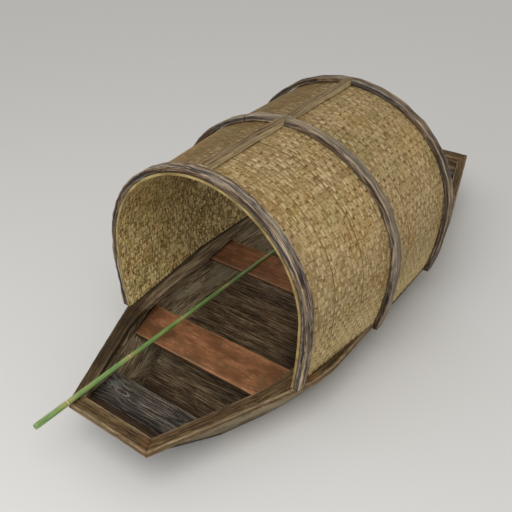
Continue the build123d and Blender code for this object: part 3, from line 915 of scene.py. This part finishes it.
# The pole is one green bamboo culm, laid with its thick end out over the bow. It thins at
# every node, where a pale ring of sheath scar stands up, and its cut ends are hollow.
thick_radius, thin_radius = 0.0155, 0.0090
first_node, node_spacing = 0.195, 0.430
ring_height, groove_depth, groove_place, ring_width = 0.0009, 0.0005, 0.009, 0.003
bore_share, bore_depth, end_chamfer, closed = 0.55, 0.03, 0.001, 0.0001
end_reach, node_reach = 0.004, 0.02
points = np.array([v.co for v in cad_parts["punt_pole"].data.vertices])
bow_end, stern_end = (
    points[abs(points[:, 1] - y) < end_reach].mean(0) for y in (points[:, 1].min(), points[:, 1].max())
)
pole_length = np.linalg.norm(stern_end - bow_end)
nodes = np.arange(first_node, pole_length, node_spacing)
near_nodes = [node + np.linspace(-node_reach, node_reach, 21) for node in nodes]
stations = np.unique(np.concatenate([np.linspace(0, pole_length, 160), *near_nodes]))[1:-1]
nearest = nodes[abs(stations[:, None] - nodes).argmin(1)]
past = (stations[:, None] > nodes).sum(1) / len(nodes)
radius = thick_radius + (thin_radius - thick_radius) * past
radius = radius * (0.99 + 0.01 * ripple(stations, 0, 71))
radius += ring_height * np.exp(-((stations - nearest) / ring_width) ** 2)
radius -= groove_depth * np.exp(-((stations - nearest - groove_place) / ring_width) ** 2)
bow_bore, stern_bore = thick_radius * bore_share, thin_radius * bore_share
stern_floor = pole_length - bore_depth
profile = np.vstack([
    [(bore_depth, closed), (bore_depth, bow_bore), (0, bow_bore), (0, thick_radius - end_chamfer)],
    np.column_stack([stations, radius]),
    [(pole_length, thin_radius - end_chamfer), (pole_length, stern_bore), (stern_floor, stern_bore)],
    [(stern_floor, closed)],
])
way = (stern_end - bow_end) / pole_length
sideways = np.cross(way, [0, 0, 1])
sideways /= np.linalg.norm(sideways)
pole_sides = 24
angle = np.linspace(0, 2 * math.pi, pole_sides, endpoint=False)[None, :, None]
culm = bow_end + profile[:, None, :1] * way + profile[:, None, 1:] * (
    np.cos(angle) * sideways + np.sin(angle) * np.cross(sideways, way))
to_node = abs(profile[:, :1] - nodes).min(1)[:, None]
skin_at = np.stack(np.broadcast_arrays(profile[:, :1], to_node, profile[:, 1:]), -1)
skin_at = skin_at + np.zeros((1, pole_sides, 1))


def pole_sockets(place):
    """Green skin with paler streaks along it, yellow towards each node, straw on the ring."""
    x, y, z = place.split()
    along, node, _ = place.attribute("skin").split()
    streak = noise(along * 4, x * 260, z * 260)
    patch = noise(along * 7, x * 30, z * 30)
    colour = streak.rise(0.35, 0.68).mix(paint(84, 118, 58), paint(130, 160, 94))
    colour = (patch.rise(0.45, 0.7) * 0.5).mix(colour, paint(138, 146, 84))
    yellow = (1 - (node + patch * 0.06).rise(0.02, 0.12)) * 0.75
    colour = yellow.mix(colour, paint(158, 152, 88))
    scar = 1 - (node + streak * 0.004).rise(0.006, 0.011)
    colour = scar.mix(colour, paint(186, 170, 124))
    groove = node.line(0.0085, 0.003)
    colour = (groove * 0.6).mix(colour, paint(92, 76, 46))
    return {"Base Color": colour, "Roughness": streak * 0.2 + 0.3, "Normal": streak.bump(0.0003, 0.6)}


pole = mesh_piece("punt_pole_culm", culm, *tube_faces(1, len(profile), pole_sides),
                  finish("pole_bamboo", pole_sockets), "pole", skin=skin_at)
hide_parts("punt_pole")


# A pale floor, even light from all round, two broad lamps off the bow, and the camera where
# the photograph was taken from.
floor_reach = 14
floor_data = bpy.data.meshes.new("floor")
floor_corners = np.array([(-1, -1, 0), (1, -1, 0), (1, 1, 0), (-1, 1, 0)]) * floor_reach
floor_data.from_pydata(floor_corners.tolist(), [], [(0, 1, 2, 3)])
floor = bpy.data.objects.new("floor", floor_data)
floor_data.materials.append(finish("floor", lambda place: {
    "Base Color": paint(205, 204, 202), "Roughness": 0.9, "Specular IOR Level": 0.0}))
scene = bpy.context.scene
scene.collection.objects.link(floor)

scene.view_settings.view_transform = "Standard"
world = bpy.data.worlds.new("studio")
scene.world = world
world.use_nodes = True
backdrop = world.node_tree.nodes["Background"]
backdrop.inputs["Color"].default_value = paint(222, 221, 219)
backdrop.inputs["Strength"].default_value = 1.0


def lamp(name, place, aim, size, power):
    """A round soft lamp."""
    data = bpy.data.lights.new(name, "AREA")
    data.shape, data.size, data.energy = "DISK", size, power
    made = bpy.data.objects.new(name, data)
    made.location = place
    made.rotation_euler = Vector(np.array(aim) - place).to_track_quat("-Z", "Y").to_euler()
    scene.collection.objects.link(made)


lamp("key_lamp", (1.4, -3.8, 5.6), (0, -0.4, 0.4), 4.5, 150)
lamp("bow_lamp", (0.2, -6.0, 2.4), (0, -0.6, 0.5), 3.5, 80)

camera_aim = Vector((-0.186, -0.468, 0.419))
camera_distance, camera_azimuth, camera_elevation = 4.2, math.radians(36.22), math.radians(33.14)
camera = bpy.data.objects.new("camera", bpy.data.cameras.new("camera"))
scene.collection.objects.link(camera)
back = Vector((
    math.sin(camera_azimuth) * math.cos(camera_elevation),
    -math.cos(camera_azimuth) * math.cos(camera_elevation), math.sin(camera_elevation),
))
camera.location = camera_aim + back * camera_distance
camera.rotation_euler = (-back).to_track_quat("-Z", "Y").to_euler()
camera.data.sensor_width, camera.data.lens = 36, 46.99
scene.camera = camera
